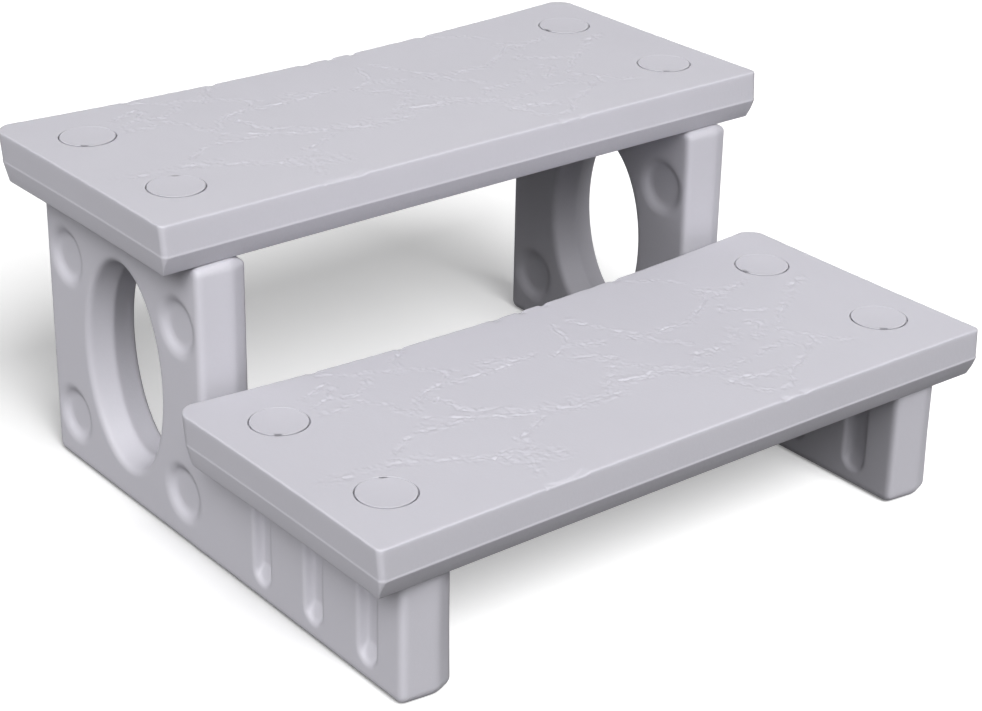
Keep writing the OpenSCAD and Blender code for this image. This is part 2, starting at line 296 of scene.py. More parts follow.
def rounded_box(y, z, y0, y1, z0, z1, r):
    """Distance to a rectangle with rounded corners in the Y-Z plane."""
    qy = np.abs(y - (y0 + y1) / 2) - (y1 - y0) / 2 + r
    qz = np.abs(z - (z0 + z1) / 2) - (z1 - z0) / 2 + r
    return np.hypot(np.maximum(qy, 0), np.maximum(qz, 0)) + np.minimum(np.maximum(qy, qz), 0) - r


def size_mm(name):
    """Size of a CAD node's box."""
    lo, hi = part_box(name)
    return [(b - a) / MM for a, b in zip(lo, hi)]


# The panel's measures in mm: x from the -X face, y from the front, z from the floor. The foot is
# the low part under the lower tread, and the tall part carries the upper tread.
PANEL_T, PANEL_Y1, TALL_TOP = size_mm("left_side_panel")
LOW_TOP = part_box("lower_tread")[0].z / MM
TREAD_OVERHANG = 2.0
TALL_Y0 = (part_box("upper_tread")[0].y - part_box("left_side_panel")[0].y) / MM + TREAD_OVERHANG
PARTING = 32.5
DRAFT = 2.5
BEVEL_X, BEVEL_SLOPE = 36.5, 0.42
OUTLINE_R = 11
FACE_BLEND = 7
SEAT_CUT, SEAT_BLEND = 1.5, 1.5
STEP_REACH = 30
TALL_MID = (TALL_Y0 + PANEL_Y1) / 2
WINDOW_Z = 140.0
WINDOW_HALF_Y, WINDOW_HALF_Z = 67.0, 105.5
WINDOW_X, WINDOW_SPREAD, WINDOW_LEAN = 24, 27.0, 9.0
WINDOW_BLEND = 6
DIMPLES = [(TALL_MID + s * 98.0, z) for s in (-1, 1) for z in (52.0, 218.0)]
DIMPLE_R, DIMPLE_DEPTH, DIMPLE_SLOPE = 28, 6, 8 / 6
GROOVES = [51.0, 129.0, 207.0]
GROOVE_Z = (30.5, 93.0)
GROOVE_R, GROOVE_SLOPE = 13, 0.45
GROOVE_SHALLOW, GROOVE_DEEPER = 2.5, 6
GROOVE_RAMP_Z, GROOVE_RAMP = 17.5, 17
GRID = 2.0


def panel_field(x, y, z):
    """Distance in mm, below 0 inside the panel.

    x is from the -X face, y from the front and z from the floor."""
    past = x - BEVEL_X
    low_down = np.clip(1 - z / 60, 0, 1)
    bevel = BEVEL_SLOPE * 0.5 * (past + np.sqrt(past ** 2 + 6)) * (1 - 0.22 * low_down)
    inset = DRAFT * np.clip(1 - x / PARTING, 0, 1) + bevel
    low_top, tall_top = LOW_TOP + SEAT_CUT, TALL_TOP + SEAT_CUT
    low = rounded_box(y, z, 0, TALL_Y0 + STEP_REACH, -SEAT_CUT, low_top, OUTLINE_R) + inset
    low = smooth_max(low, z - LOW_TOP, SEAT_BLEND)
    tall = rounded_box(y, z, TALL_Y0, PANEL_Y1, -SEAT_CUT, tall_top, OUTLINE_R) + inset
    tall = smooth_max(tall, z - TALL_TOP, SEAT_BLEND)
    f = smooth_min(low, tall, 3)
    f = smooth_max(f, -z, SEAT_BLEND)
    f = smooth_max(f, np.abs(x - PANEL_T / 2) - PANEL_T / 2, FACE_BLEND)
    lean = WINDOW_LEAN * (1 - np.sqrt(((x - WINDOW_X) / WINDOW_SPREAD) ** 2 + 0.003))
    a, b = WINDOW_HALF_Y - lean, WINDOW_HALF_Z - lean
    v, w = y - TALL_MID, z - WINDOW_Z
    k0 = np.hypot(v / a, w / b)
    k1 = np.maximum(np.hypot(v / a ** 2, w / b ** 2), 1e-9)
    window = k0 * (k0 - 1) / k1
    f = smooth_max(f, -window, WINDOW_BLEND)
    for s in (x, PANEL_T - x):
        for dy, dz in DIMPLES:
            rho = np.hypot(y - dy, z - dz)
            side = (rho - (DIMPLE_R - DIMPLE_SLOPE * s)) * 0.6
            f = smooth_max(f, -smooth_max(side, s - DIMPLE_DEPTH, 2.5), 3)
        for gy in GROOVES:
            zc = np.clip(z, *GROOVE_Z)
            rho = np.hypot(y - gy, z - zc)
            side = (rho - (GROOVE_R - GROOVE_SLOPE * s)) * 0.91
            ramp = np.clip((z - GROOVE_RAMP_Z) / GROOVE_RAMP, 0, 1)
            floor_at = s - (GROOVE_SHALLOW + GROOVE_DEEPER * ramp)
            f = smooth_max(f, -smooth_max(side, floor_at, 2.5), 2.5)
    return f


def surface_nets(field, lo, hi, h):
    """Quads on the zero level of a distance field, with the vertices drawn onto it."""
    axes = [np.arange(a - 2 * h, b + 3 * h, h) for a, b in zip(lo, hi)]
    grid = np.meshgrid(*axes, indexing="ij")
    f = field(*grid)
    inside = f < 0
    nx, ny, nz = f.shape
    corners = np.zeros((nx - 1, ny - 1, nz - 1), np.int8)
    for dx in (0, 1):
        for dy in (0, 1):
            for dz in (0, 1):
                corners += inside[dx:nx - 1 + dx, dy:ny - 1 + dy, dz:nz - 1 + dz]
    active = (corners > 0) & (corners < 8)
    number = np.full(active.shape, -1, np.int64)
    cells = np.argwhere(active)
    number[active] = np.arange(len(cells))
    total, count = np.zeros((len(cells), 3)), np.zeros(len(cells))
    ci, cj, ck = cells.T
    for axis in range(3):
        step = np.eye(3, dtype=int)[axis]
        others = [a for a in range(3) if a != axis]
        for p in (0, 1):
            for q in (0, 1):
                start = np.zeros(3, int)
                start[others[0]], start[others[1]] = p, q
                i0, j0, k0 = ci + start[0], cj + start[1], ck + start[2]
                fa, fb = f[i0, j0, k0], f[i0 + step[0], j0 + step[1], k0 + step[2]]
                hit = (fa < 0) != (fb < 0)
                t = np.where(hit, fa / np.where(hit, fa - fb, 1), 0)
                point = np.stack([i0 + step[0] * t, j0 + step[1] * t, k0 + step[2] * t], 1)
                total += np.where(hit[:, None], point, 0)
                count += hit
    verts = total / count[:, None] * h + np.array([a[0] for a in axes])
    for _ in range(3):
        x, y, z = verts.T
        d, e = field(x, y, z), 0.25
        g = np.stack([field(x + e, y, z) - field(x - e, y, z),
                      field(x, y + e, z) - field(x, y - e, z),
                      field(x, y, z + e) - field(x, y, z - e)], 1) / (2 * e)
        move = d[:, None] * g / np.maximum((g * g).sum(1), 0.05)[:, None]
        verts -= np.clip(move, -0.5 * h, 0.5 * h)
    quads = []
    for axis in range(3):
        a, b = [k for k in range(3) if k != axis]
        sl0 = [slice(1, -1)] * 3
        sl1 = [slice(1, -1)] * 3
        sl0[axis], sl1[axis] = slice(0, -1), slice(1, None)
        first, second = inside[tuple(sl0)], inside[tuple(sl1)]
        where = np.argwhere(first != second)
        flip = first[tuple(where.T)]
        base = where.copy()
        base[:, a] += 1
        base[:, b] += 1
        ring = []
        for da, db in ((-1, -1), (0, -1), (0, 0), (-1, 0)):
            cell = base.copy()
            cell[:, a] += da
            cell[:, b] += db
            ring.append(number[tuple(cell.T)])
        q = np.stack(ring, 1)
        outward = flip if axis != 1 else ~flip
        q[~outward] = q[~outward][:, ::-1]
        quads.append(q)
    return verts, np.concatenate(quads)


PANEL_SIZE = (PANEL_T, PANEL_Y1, TALL_TOP)
INSERT_BORE = [(0, -30), (7, -30), (7, -1.5), (9.1, -1.5), (9.1, 3), (0, 3)]
verts, quads = surface_nets(panel_field, (0, 0, 0), PANEL_SIZE, GRID)
verts = np.clip(verts, (0, 0, 0), PANEL_SIZE) * MM
for side in SIDES:
    lo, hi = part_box(f"{side}_side_panel")
    ob = quad_object(f"{side}_panel_shell", verts + np.array(lo), quads)
    centres = []
    for lev in LEVELS:
        ilo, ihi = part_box(f"{lev}_{side}_inserts")
        r = (ihi.x - ilo.x) / 2
        centres += [((ilo.x + ihi.x) / 2, yy, ihi.z) for yy in (ilo.y + r, ihi.y - r)]
    cut(ob, [lathe("cutter", INSERT_BORE, centres, 48)])
    smooth_by_angle(ob, 50)
    ob.data.materials.append(mat_panel)
    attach(ob, "steps")
    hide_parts(f"{side}_side_panel")


# ---- Treads ----

# The tread's measures in mm: x from its middle, y from its front edge, z from its underside.
# BACK_BOW is how far its back edge bows in, FRONT_BOW and END_BOW how far the others do, and LEAN
# how far its ends lean to -X at the top.
LENGTH, DEPTH, THICK = size_mm("lower_tread")
HALF = LENGTH / 2
BACK_BOW = 18.0
FRONT_R, BACK_R = 6.0, 20.0
POINT_R = 0.6
BOW_END = math.radians(9)
BACK_POST_Y = DEPTH - BACK_R * math.cos(BOW_END)
BOW_CHORD = HALF - BACK_R * (1 - math.sin(BOW_END))
BOW_R = (BOW_CHORD ** 2 + BACK_BOW ** 2) / (2 * BACK_BOW)
FRONT_BOW, END_BOW = 2.0, 1.4
TOP_R = 1.6
SURFACE = THICK - 0.5
PARTING_Z = 19.5
END_BEVEL = 0.45
LEAN = 1.1
EDGE_ZONE = 12
WELL_X, WELL_YS = 285.5, (73, 228)

# Joint lines of the slate pattern, in mm from the tread's middle and from its front edge:
# (groove depth, step, half width of the crumbled band, points). The left side of the line
# stands higher by the step.
JOINTS = [
    (0.1, 0.5, 2, [(-212, 286), (-198, 276), (-182, 264), (-167, 263), (-159, 254),
                   (-148, 250)]),
    (0.5, 0.0, 4, [(-148, 244), (-140, 254), (-136, 267), (-128, 272), (-119, 279)]),
    (0.1, 0.5, 3, [(-136, 246), (-123, 236), (-113, 223), (-103, 217)]),
    (0.6, 0.0, 4, [(-188, 172), (-180, 174), (-173, 178), (-171, 186), (-165, 189),
                   (-157, 195), (-151, 200)]),
    (0.6, 0.0, 3, [(-151, 200), (-138, 201), (-128, 204), (-121, 210), (-116, 214)]),
    (0.5, 0.0, 3, [(-156, 180), (-149, 184)]),
    (0.6, 0.2, 4, [(-119, 201), (-100, 199), (-82, 200), (-71, 198), (-57, 198)]),
    (0.5, 0.1, 3, [(-50, 204), (-44, 201), (-32, 200), (-23, 204)]),
    (0.2, 0.3, 5, [(-84, 217), (-71, 215), (-61, 211), (-51, 204)]),
    (0.1, 0.5, 3, [(-208, 220), (-200, 209), (-190, 197), (-192, 186), (-186, 176)]),
    (0.5, 0.0, 3, [(-265, 243), (-253, 246), (-244, 251), (-232, 257), (-221, 261),
                   (-213, 265)]),
    (0.5, 0.1, 3, [(-259, 227), (-251, 230), (-240, 235), (-226, 240), (-221, 248),
                   (-213, 254)]),
    (0.4, 0.2, 4, [(-217, 233), (-205, 232), (-196, 234), (-186, 237), (-181, 244),
                   (-177, 252)]),
    (0.3, 0.2, 4, [(-255, 217), (-240, 215), (-221, 217)]),
    (0.5, 0.1, 3, [(-240, 123), (-232, 129), (-221, 135), (-205, 142), (-194, 148),
                   (-190, 152)]),
    (0.2, 0.0, 4, [(-198, 140), (-180, 138), (-161, 136)]),
    (0.1, 0.5, 2, [(-180, 160), (-171, 150), (-161, 148)]),
    (0.4, 0.0, 2, [(-163, 147), (-155, 141), (-149, 136)]),
    (0.0, 0.6, 3, [(-147, 172), (-146, 158), (-141, 148), (-128, 140), (-117, 132),
                   (-103, 121), (-88, 113)]),
    (0.3, 0.5, 3, [(-152, 138), (-142, 132), (-130, 126), (-119, 119), (-111, 114)]),
    (0.4, 0.0, 3, [(-115, 122), (-106, 117), (-97, 113)]),
    (0.3, 0.1, 7, [(-319, 117), (-309, 113), (-296, 111), (-276, 110), (-265, 108),
                   (-253, 108), (-240, 104), (-226, 103)]),
    (0.1, 0.4, 2, [(-236, 100), (-225, 92), (-209, 86)]),
    (0.4, 0.5, 4, [(-207, 85), (-198, 78), (-186, 72), (-180, 64)]),
    (0.6, 0.0, 3, [(-180, 64), (-171, 67), (-165, 71)]),
    (0.3, 0.0, 11, [(-170, 60), (-160, 60), (-148, 55), (-138, 48), (-130, 43)]),
    (0.3, 0.1, 6, [(-155, 50), (-160, 36), (-166, 25)]),
    (0.5, 0.1, 3, [(-138, 81), (-128, 85), (-119, 89), (-111, 94), (-98, 100)]),
    (0.2, 0.0, 6, [(-138, 80), (-138, 69), (-142, 58)]),
    (0.4, 0.0, 8, [(-82, 113), (-75, 104), (-61, 98), (-40, 98), (-25, 98), (-13, 98)]),
    (0.3, 0.2, 5, [(-64, 104), (-58, 109), (-52, 115)]),
    (0.4, 0.1, 6, [(-24, 99), (-13, 112), (0, 125), (10, 133), (22, 143), (28, 152)]),
    (0.1, 0.5, 3, [(48, 240), (59, 217), (67, 202), (76, 185), (82, 173), (86, 158),
                   (98, 146), (105, 134)]),
    (0.5, 0.0, 3, [(-12, 189), (1, 194), (15, 202), (23, 217), (25, 229), (30, 242)]),
    (0.4, 0.1, 5, [(84, 173), (105, 172), (125, 172), (142, 172)]),
    (0.5, 0.1, 3, [(142, 172), (155, 181), (167, 187), (180, 196), (192, 206), (199, 216)]),
    (0.1, 0.5, 2, [(152, 276), (159, 271), (171, 265), (182, 258), (188, 250), (198, 240)]),
    (0.3, 0.1, 8, [(194, 214), (204, 210), (201, 199)]),
    (0.3, 0.0, 4, [(208, 209), (222, 204), (240, 208), (257, 216)]),
    (0.5, 0.1, 3, [(194, 108), (201, 117), (211, 125), (221, 136), (238, 146), (248, 154),
                   (259, 158)]),
    (0.15, 0.0, 5, [(262, 160), (278, 177), (298, 181)]),
    (0.1, 0.5, 3, [(194, 106), (201, 92), (213, 83), (217, 71), (225, 61), (236, 54)]),
    (0.5, 0.0, 3, [(126, 21), (132, 31), (138, 37)]),
    (0.5, 0.0, 3, [(144, 40), (159, 48), (171, 54), (184, 62), (190, 69), (201, 69),
                   (207, 79)]),
    (0.3, 0.1, 4, [(82, 58), (84, 48), (90, 31), (100, 19), (113, 19), (125, 21)]),
    (0.3, 0.1, 6, [(82, 56), (98, 56), (109, 50), (125, 44), (140, 46)]),
    (0.3, 0.0, 5, [(84, 71), (98, 75), (107, 79), (121, 79)]),
    (0.4, 0.1, 8, [(1, 115), (28, 108), (36, 111), (53, 104), (61, 96), (73, 87), (82, 88)]),
    (0.0, 0.4, 3, [(30, 136), (40, 123), (50, 113), (61, 106)]),
    (0.2, 0.3, 7, [(19, 196), (28, 190), (38, 185)]),
    (0.3, 0.0, 7, [(0, 176), (12, 168), (19, 165), (26, 155)]),
    (0.2, 0.0, 7, [(66, 186), (74, 178), (78, 170)]),
    (0.3, 0.1, 6, [(98, 115), (107, 111), (125, 113), (142, 117), (153, 127), (159, 136)]),
    (0.4, 0.0, 6, [(169, 110), (178, 119), (190, 131), (186, 137)]),
    (0.0, 0.4, 3, [(184, 169), (194, 165), (205, 156), (217, 150)]),
    (0.4, 0.0, 3, [(178, 171), (190, 179)]),
    (0.2, 0.1, 4, [(140, 81), (155, 86), (173, 86), (188, 92)]),
    (0.3, 0.1, 4, [(82, 104), (90, 110), (98, 117)]),
    (0.1, 0.3, 3, [(180, 79), (194, 73), (201, 69)]),
]


def line_distance(x, y, points):
    """Distance to a polyline, signed + on its left side."""
    best = np.full(x.shape, 1e9)
    signed = np.full(x.shape, 1e9)
    for (x0, y0), (x1, y1) in zip(points, points[1:]):
        dx, dy = x1 - x0, y1 - y0
        t = np.clip(((x - x0) * dx + (y - y0) * dy) / (dx * dx + dy * dy), 0, 1)
        ex, ey = x - x0 - t * dx, y - y0 - t * dy
        d = np.hypot(ex, ey)
        s = np.where(dx * (y - y0) - dy * (x - x0) >= 0, 1.0, -1.0)
        nearer = d < best
        best = np.where(nearer, d, best)
        signed = np.where(nearer, d * s, signed)
    return best, signed


# A joint line is a groove with a low bank beside it, a shelf that fades away from it, and crumbs.
JOINT_REACH = 40
GROOVE_HALF, GROOVE_CUT = 1.15, 1.15
BANK_AT, BANK_HALF, BANK_RISE = 2.6, 1.1, 0.3
SHELF_RISE, SHELF_BEND, SHELF_LENGTH = 0.36, 1.1, 8
CRUMB_HEIGHT = 0.85


def slate_relief(x, y):
    """Height of the slate pattern over the tread's top, and the distance to the nearest band."""
    wx = x + 1.3 * lattice_noise(x, y, 7, 1) + 0.8 * lattice_noise(x, y, 3, 2)
    wy = y + 1.3 * lattice_noise(x, y, 7, 3) + 0.8 * lattice_noise(x, y, 3, 4)
    height, rough, nearest = np.zeros(x.shape), np.zeros(x.shape), np.full(x.shape, 1e3)
    for i, (depth, step, width, points) in enumerate(JOINTS):
        px = [p[0] for p in points]
        py = [p[1] for p in points]
        close = ((x > min(px) - JOINT_REACH) & (x < max(px) + JOINT_REACH)
                 & (y > min(py) - JOINT_REACH) & (y < max(py) + JOINT_REACH))
        cx, cy = wx[close], wy[close]
        d, s = line_distance(cx, cy, points)
        patchy = np.clip(0.75 + 0.9 * lattice_noise(cx, cy, 8, 20 + i), 0.1, 1.4)
        band = 1.25 * width + 1.0
        bank = BANK_RISE * np.exp(-((d - BANK_AT) / BANK_HALF) ** 2)
        groove = depth * patchy * (bank - GROOVE_CUT * np.exp(-(d / GROOVE_HALF) ** 2))
        shelf = SHELF_RISE * step * patchy * np.tanh(s / SHELF_BEND) * np.exp(-d / SHELF_LENGTH)
        height[close] += groove + shelf
        crumbled = np.exp(-(d / band) ** 4) * np.clip(patchy + 0.3, 0, 1)
        rough[close] = np.maximum(rough[close], crumbled)
        nearest[close] = np.minimum(nearest[close], d - (band - 3))
    crumbs = 0.5 * lattice_noise(x, y, 3.0, 60) + 0.5 * lattice_noise(x, y, 5.5, 61)
    height += CRUMB_HEIGHT * crumbs * rough
    height += 0.10 * lattice_noise(x, y, 38, 62) + 0.05 * lattice_noise(x, y, 15, 63)
    return height, nearest


# Chips in the tread's edges: (x, half width, depth) in mm.
FRONT_CHIPS = ((97, 4.5, 1.3), (120, 4, 1.0))
BACK_CHIPS = ((-115, 4.5, 1.2), (-6, 6, 1.1), (25, 4, 1.5), (52, 4, 1.7), (145, 4.5, 1.2),
              (-208, 5, 1.0))


def soft_step(t):
    """From 1 where t is well below 0 to 0 where it is well above."""
    return 1 / (1 + np.exp(np.clip(t, -30, 30)))


def edge_nicks(x, y, y_back):
    """Chips at the tread's front and back edges, where the slate pattern runs out over them.

    The widest is a broken lip near the left end of the front edge, with a bump and a notch."""
    lip = 2.0 + 0.013 * (x + 156) ** 2
    h = np.zeros(x.shape)
    h -= 1.0 * soft_step((np.abs(x + 152) - 20) / 1.2) * soft_step((y - lip) / 0.3)
    h += 0.5 * np.exp(-((x + 128) / 3.5) ** 2 - ((y - 1.5) / 3) ** 2)
    h -= 1.2 * np.exp(-((x + 176) / 2.0) ** 2 - (y / 3.0) ** 2)
    for cx, r, deep in FRONT_CHIPS:
        h -= deep * np.exp(-((x - cx) / r) ** 4 - (y / 5.0) ** 4)
    for cx, r, deep in BACK_CHIPS:
        h -= deep * np.exp(-((x - cx) / r) ** 4 - ((y_back - y) / 6.0) ** 4)
    return h


# Columns of the tread's mesh along its straight part, its back and its front corners, and rows.
STRAIGHT_COLUMNS, BACK_COLUMNS, FRONT_COLUMNS, ROWS = 122, 17, 9, 108


def tread_outline():
    """Columns' x, and the outer outline's front and back points with their outward normals."""
    quarter = math.pi / 2
    half = list(np.linspace(0, HALF - BACK_R, STRAIGHT_COLUMNS))
    half += [HALF - BACK_R + BACK_R * math.sin(a)
             for a in np.linspace(0, quarter, BACK_COLUMNS)[1:]]
    half += [HALF - FRONT_R + FRONT_R * math.sin(a)
             for a in np.linspace(0, quarter, FRONT_COLUMNS)[1:-1]]
    half = np.unique(np.round(half, 4))
    xs = np.concatenate([-half[:0:-1], half])
    ax = np.abs(xs)
    fa = np.arcsin(np.clip((ax - (HALF - FRONT_R)) / FRONT_R, 0, 1))
    bow = DEPTH - BACK_BOW + BOW_R - np.sqrt(BOW_R ** 2 - np.minimum(ax, BOW_CHORD + 8) ** 2)
    ba = np.arcsin(np.clip((ax - (HALF - BACK_R)) / BACK_R, 0, 1))
    corner = BACK_POST_Y + BACK_R * np.cos(ba)
    back = np.where(ax < HALF - BACK_R, bow, smooth_min(bow, corner, 1.2))
    back = np.where(ax > HALF - BACK_R * (1 - math.sin(math.radians(25))), corner, back)
    slope = np.gradient(back, xs)
    back_n = np.stack([-slope, np.ones_like(slope)], 1)
    back_n /= np.linalg.norm(back_n, axis=1)[:, None]
    arc = ba > math.radians(14)
    back_n[arc] = np.stack([np.sign(xs) * np.sin(ba), np.cos(ba)], 1)[arc]
    return xs, fa, back, back_n


# The rim from its top rounding to the underside: (inset from the outline, z), with the parting
# line's ridge and the bevel under it.
RIM_PROFILE = [(0.05, 44), (0.12, 39), (0.22, 30), (0.35, 22), (0.35, 21.2), (0.12, 20.3),
               (0, PARTING_Z), (0.35, 18.6), (4.5, 9.8), (8.6, 1.3), (9.2, 0.45), (10.0, 0.0)]


def tread_blank():
    """Smooth tread: vertices in mm about its middle front bottom, quads and the bottom face."""
    xs, fa, back, back_n = tread_outline()
    nc = len(xs)
    v = np.linspace(0, 1, ROWS)
    bp = np.stack([xs, back], 1)

    def inset_loop(e, e_end):
        """Front, back, left and right points, the outline drawn in by e, at its ends by e_end."""
        r = max(FRONT_R - e, POINT_R)
        reach = HALF - e_end - r
        fx = np.where(fa > 0, np.sign(xs) * (reach + r * np.sin(fa)),
                      xs * reach / (HALF - FRONT_R))
        f = np.stack([fx, e + r - r * np.cos(fa)], 1)
        b = bp - back_n * np.array([e_end, e])
        ends_y = f[0, 1] + (b[0, 1] - f[0, 1]) * v
        left = np.stack([np.full(ROWS, -HALF + e_end), ends_y], 1)
        right = np.stack([np.full(ROWS, HALF - e_end), ends_y], 1)
        return f, b, left, right

    def ring(e, z):
        f, b, left, right = inset_loop(e, e * (END_BEVEL if z < PARTING_Z else 1))
        return np.concatenate([f, right[1:-1], b[::-1], left[-2:0:-1]])

    f, b, left, right = inset_loop(TOP_R, TOP_R)
    u = ((xs + HALF) / LENGTH)[None, :, None]
    w = v[:, None, None]
    top = ((1 - w) * f[None] + w * b[None] + (1 - u) * left[:, None] + u * right[:, None]
           - ((1 - u) * (1 - w) * f[0] + u * (1 - w) * f[-1]
              + (1 - u) * w * b[0] + u * w * b[-1]))
    top = top.reshape(-1, 2)
    verts = [np.column_stack([top, np.full(len(top), SURFACE)])]
    grid = np.arange(ROWS * nc).reshape(ROWS, nc)
    quads = [np.stack([grid[:-1, :-1], grid[:-1, 1:], grid[1:, 1:], grid[1:, :-1]],
                      -1).reshape(-1, 4)]
    profile = [(TOP_R * (1 - math.sin(t)), SURFACE - TOP_R * (1 - math.cos(t)))
               for t in np.radians([30, 60, 90])]
    profile += RIM_PROFILE
    previous = np.concatenate([grid[0], grid[1:-1, -1], grid[-1, ::-1], grid[-2:0:-1, 0]])
    count = ROWS * nc
    n = len(previous)
    for e, z in profile:
        verts.append(np.column_stack([ring(e, z), np.full(n, z)]))
        now = np.arange(count, count + n)
        count += n
        quads.append(np.stack([previous, now, np.roll(now, -1), np.roll(previous, -1)], 1))
        previous = now
    return np.concatenate(verts), np.concatenate(quads), previous[::-1]


def back_edge(x):
    """y of the tread's back edge."""
    xs, _, back, _ = tread_outline()
    return np.interp(x, xs, back)


def refine(ob):
    """Splits the blank's edges in three near the slate joints and the chips."""
    bm = bmesh.new()
    bm.from_mesh(ob.data)
    bm.edges.ensure_lookup_table()
    mid = np.array([(e.verts[0].co + e.verts[1].co) / 2 for e in bm.edges]) / MM
    x, y, z = mid.T
    nearest = slate_relief(x, y)[1]
    y_back = back_edge(x)
    margin = np.minimum(np.minimum(y, y_back - y), HALF - np.abs(x))
    on_top = z > SURFACE - 0.01
    chips = (edge_nicks(x, y, y_back) < -0.05) & (z > SURFACE - EDGE_ZONE)
    wanted = (on_top & (nearest < 4.2) & (margin > 4)) | chips
    edges = [bm.edges[i] for i in np.flatnonzero(wanted)]
    bmesh.ops.subdivide_edges(bm, edges=edges, cuts=2, use_grid_fill=True)
    bm.to_mesh(ob.data)
    bm.free()


def texture_tread(ob):
    """Presses the slate relief and the edge chips into the blank, bows and leans its sides."""
    me = ob.data
    co = np.empty(len(me.vertices) * 3, np.float32)
    me.vertices.foreach_get("co", co)
    x, y, z = (co.reshape(-1, 3).astype(float) / MM).T
    height = slate_relief(x, y)[0]
    y_back = back_edge(x)
    margin = np.minimum(np.minimum(y, y_back - y), HALF - np.abs(x))
    fade = np.clip((margin - TOP_R) / 4, 0, 1)
    height *= fade * np.clip((HALF - np.abs(x) - 12) / 30, 0, 1)
    for cx in (-WELL_X, WELL_X):
        for cy in WELL_YS:
            away = np.hypot(x - cx, y - cy)
            height *= np.clip((away - 31) / 12, 0, 1)
    ragged = 0.22 * lattice_noise(x, y, 7, 70) + 0.12 * lattice_noise(x, y, 3, 71)
    height += ragged * np.clip(1 - margin / 6, 0, 1)
    height = np.minimum(height + edge_nicks(x, y, y_back), THICK - SURFACE)
    share = np.clip((z - (SURFACE - EDGE_ZONE)) / EDGE_ZONE, 0, 1) ** 1.5
    z = z + height * share
    x0, y0 = x.copy(), y.copy()
    x = x0 * (1 - END_BOW / HALF * np.clip(1 - ((y0 - 150) / 150) ** 2, 0, 1))
    rise = np.clip((z - PARTING_Z) / (SURFACE - PARTING_Z), 0, 1)
    x = x * (1 - LEAN / HALF) + LEAN * (1 - 2 * rise)
    y = y0 + FRONT_BOW * (1 - (x0 / HALF) ** 2) * np.clip(1 - y0 / DEPTH, 0, 1) ** 2
    me.vertices.foreach_set("co", (np.stack([x, y, z], 1) * MM).astype(np.float32).ravel())
    me.update()


# Turned cutters in mm over the tread's underside: (radius, z).
WELL = [(0, 8), (24.7, 8), (25, 8.3), (25, 46), (26.9, 46), (26.9, 49.1), (27.2, 49.5),
        (27.2, 52), (0, 52)]
HOLE = [(0, -3), (4.5, -3), (4.5, 12), (0, 12)]
DISH = [(0, -1.2), (27.0, -1.2), (25.4, -0.1), (24.3, 0.6), (23.4, 1.4), (19.6, 4.1),
        (18.6, 4.7), (17.2, 5), (0, 5)]
DISHES = [(x, y) for x in (-195, -65, 65, 195) for y in (82, 206)]
blank_verts, blank_quads, blank_bottom = tread_blank()
blank = quad_object("blank", blank_verts * MM, blank_quads, [blank_bottom])
refine(blank)
texture_tread(blank)
for lev in LEVELS:
    lo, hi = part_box(f"{lev}_tread")
    base = np.array([(lo.x + hi.x) / 2, lo.y, lo.z])
    ob = bpy.data.objects.new(f"{lev}_tread_shell", blank.data.copy())
    bpy.context.scene.collection.objects.link(ob)
    ob.data.transform(Matrix.Translation(base))
    places = []
    for side in SIDES:
        for row in ("front", "back"):
            clo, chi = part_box(f"{lev}_{row}_{side}_cap")
            places.append(((clo.x + chi.x) / 2, (clo.y + chi.y) / 2, lo.z))
    dishes = [(base[0] + x * MM, base[1] + y * MM, base[2]) for x, y in DISHES]
    cut(ob, [lathe("cutter", WELL, places, 96), lathe("cutter", HOLE, places, 32),
             lathe("cutter", DISH, dishes, 64)])
    smooth_by_angle(ob, 42)
    ob.data.materials.append(mat_tread)
    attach(ob, "steps")
    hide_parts(f"{lev}_tread")
bpy.data.objects.remove(blank, do_unlink=True)


# ---- Caps ----

CAP_RIM = 25.7
# A cap's section from its underside to its top: (radius, z under the top). The disc overhangs
# its plug, so that the joint around it reads as a dark line.
CAP_PROFILE = [(0, -3.4), (21.8, -3.4), (22.0, -3.8), (22.2, -15.6), (22.6, -16), (24.3, -16),
               (24.65, -15.6), (24.65, -4), (24.8, -3.9), (24.8, -0.95), (CAP_RIM, -0.75),
               (CAP_RIM, -0.35), (CAP_RIM - 0.1, -0.12), (CAP_RIM - 0.35, 0), (CAP_RIM - 0.9, 0),
               (CAP_RIM - 2.0, -0.12), (CAP_RIM - 3.0, -0.2), (0, -0.3)]
# Direction of each cap's pry notch, in degrees from +X.
NOTCH_ANGLES = {("front", "left"): 60, ("front", "right"): 234,
                ("back", "left"): 234, ("back", "right"): 187}
# The notch's levels: (z, half width, radius where it starts), and the radius where it ends.
NOTCH_LEVELS = ((-3.0, 3.2, 20.4), (-0.7, 3.2, 23.4), (1.0, 4.0, 22.8))
NOTCH_END = 30


def notch_cutter(c, degrees):
    """A wedge that opens a pry notch in the rim of a cap whose top centre is c."""
    a = math.radians(degrees)
    out = Vector((math.cos(a), math.sin(a), 0))
    across = Vector((-math.sin(a), math.cos(a), 0))
    corners = []
    for z, half, start in NOTCH_LEVELS:
        for s, reach in ((-1, start), (1, start), (1, NOTCH_END), (-1, NOTCH_END)):
            p = Vector(c) + (across * half * s + out * reach) * MM
            p.z = c[2] + z * MM
            corners.append(p)
    faces = [(3, 2, 1, 0), (8, 9, 10, 11)]
    for k in (0, 4):
        faces += [(k + i, k + (i + 1) % 4, k + 4 + (i + 1) % 4, k + 4 + i) for i in range(4)]
    return mesh_object("cutter", corners, faces)


